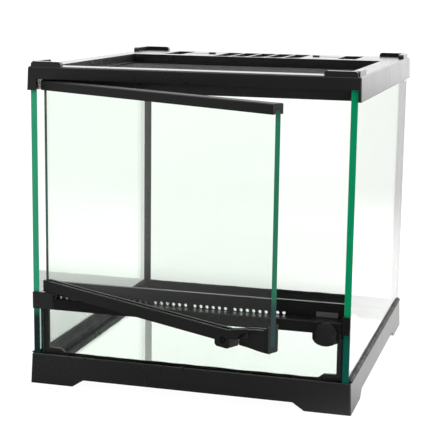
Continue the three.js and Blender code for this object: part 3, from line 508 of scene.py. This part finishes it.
def floor_as_seen(tree, place):
    """White to the eye, with painted shade where it is seen through glass beneath the cabinet."""
    depth = tree.nodes.new("ShaderNodeLightPath").outputs["Transmission Depth"]
    through_glass = ramp(tree, depth, [(0.0, 0.0), (1.0, 1.0)])
    sideways = math_node(tree, "ABSOLUTE", place.outputs["X"])
    lengthways = math_node(tree, "ABSOLUTE", place.outputs["Y"])
    from_middle = math_node(tree, "MAXIMUM", sideways, lengthways)
    # Painted shade: the cabinet's shadow on the floor beneath it, grey to the eye through glass.
    beneath = ramp(tree, from_middle, [(0.25, 0.40), (0.45, 0.0)])
    painted_floor_shade = math_node(tree, "MULTIPLY", through_glass, beneath)
    return math_node(tree, "SUBTRACT", FLOOR_SEEN, painted_floor_shade)


def stage_floor():
    data = bpy.data.meshes.new("studio_floor")
    signs = [(-1, -1), (1, -1), (1, 1), (-1, 1)]
    corners = [(x * FLOOR_REACH, y * FLOOR_REACH, -FLOOR_DROP) for x, y in signs]
    data.from_pydata(corners, [], [(0, 1, 2, 3)])
    floor = bpy.data.objects.new("studio_floor", data)
    bpy.context.scene.collection.objects.link(floor)
    material, tree, out = new_material("studio_floor")
    shader = add_node(tree, "ShaderNodeBsdfPrincipled", Roughness=0.9, Specular_IOR_Level=0.0)
    shader.inputs["Base Color"].default_value = FLOOR_PAINT
    shader.inputs["Emission Color"].default_value = FLOOR_GLOW
    place = tree.nodes.new("ShaderNodeSeparateXYZ")
    link(tree, object_coordinates(tree), place.inputs[0])
    glow = chosen_by_ray(tree, floor_as_light(tree, place), floor_as_seen(tree, place))
    link(tree, glow, shader.inputs["Emission Strength"])
    link(tree, shader.outputs[0], out.inputs["Surface"])
    data.materials.append(material)


def studio_world():
    """White to the eye; as a light it is bright behind and above, and dark low in front."""
    world = bpy.data.worlds.new("studio")
    bpy.context.scene.world = world
    world.use_nodes = True
    tree = world.node_tree
    tree.nodes.clear()
    out = tree.nodes.new("ShaderNodeOutputWorld")
    direction = tree.nodes.new("ShaderNodeTexCoord").outputs["Generated"]
    axes = tree.nodes.new("ShaderNodeSeparateXYZ")
    link(tree, direction, axes.inputs[0])
    front = ramp(tree, axes.outputs["Z"], [(0.30, DIM), (0.80, BRIGHT)])
    behind = ramp(tree, axes.outputs["Y"], [(-0.20, 0.0), (0.40, 1.0)])
    level = tree.nodes.new("ShaderNodeMix")
    link(tree, behind, level.inputs["Factor"])
    link(tree, front, level.inputs["A"])
    level.inputs["B"].default_value = BACKDROP_LIGHT
    right = ramp(tree, axes.outputs["X"], [(0.45, 0.0), (0.90, 0.5)])
    as_light = math_node(tree, "ADD", level.outputs["Result"], right)
    shader = add_node(tree, "ShaderNodeBackground")
    shader.inputs["Color"].default_value = (1.0, 1.0, 1.0, 1.0)
    link(tree, chosen_by_ray(tree, as_light, BACKDROP_SEEN), shader.inputs["Strength"])
    link(tree, shader.outputs[0], out.inputs["Surface"])


# ------------------------------------------------------------------ camera, fitted to the photo
BASE_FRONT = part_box("base_frame_front")[0]
BASE_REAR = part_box("base_frame_rear")[1]
BASE_MIDDLE = Vector(((BASE_FRONT[0] + BASE_REAR[0]) / 2, (BASE_FRONT[1] + BASE_REAR[1]) / 2, 0.0))
CAMERA_FROM_MIDDLE = Vector((326.02, -1222.51, 378.00)) * MM
CAMERA_AZIMUTH = math.radians(15.710)
CAMERA_ELEVATION = math.radians(10.527)
CAMERA_ROLL = math.radians(0.780)
FOCAL_PIXELS = 1251.1
PHOTO_PIXELS = 433
SENSOR_WIDTH = 36.0


def photo_camera():
    level = math.cos(CAMERA_ELEVATION)
    back = Vector((
        math.sin(CAMERA_AZIMUTH) * level,
        -math.cos(CAMERA_AZIMUTH) * level,
        math.sin(CAMERA_ELEVATION),
    ))
    right = Vector((math.cos(CAMERA_AZIMUTH), math.sin(CAMERA_AZIMUTH), 0.0))
    up = back.cross(right)
    turned_right = math.cos(CAMERA_ROLL) * right + math.sin(CAMERA_ROLL) * up
    turned_up = -math.sin(CAMERA_ROLL) * right + math.cos(CAMERA_ROLL) * up
    data = bpy.data.cameras.new("camera")
    data.sensor_width = SENSOR_WIDTH
    data.lens = FOCAL_PIXELS / PHOTO_PIXELS * SENSOR_WIDTH
    data.clip_end = 50.0
    camera = bpy.data.objects.new("camera", data)
    bpy.context.scene.collection.objects.link(camera)
    matrix = Matrix((turned_right, turned_up, back)).transposed().to_4x4()
    matrix.translation = BASE_MIDDLE + CAMERA_FROM_MIDDLE
    camera.matrix_world = matrix
    bpy.context.scene.camera = camera


stage_floor()
studio_world()
photo_camera()
view = bpy.context.scene.view_settings
view.view_transform = "Standard"
view.look = "None"
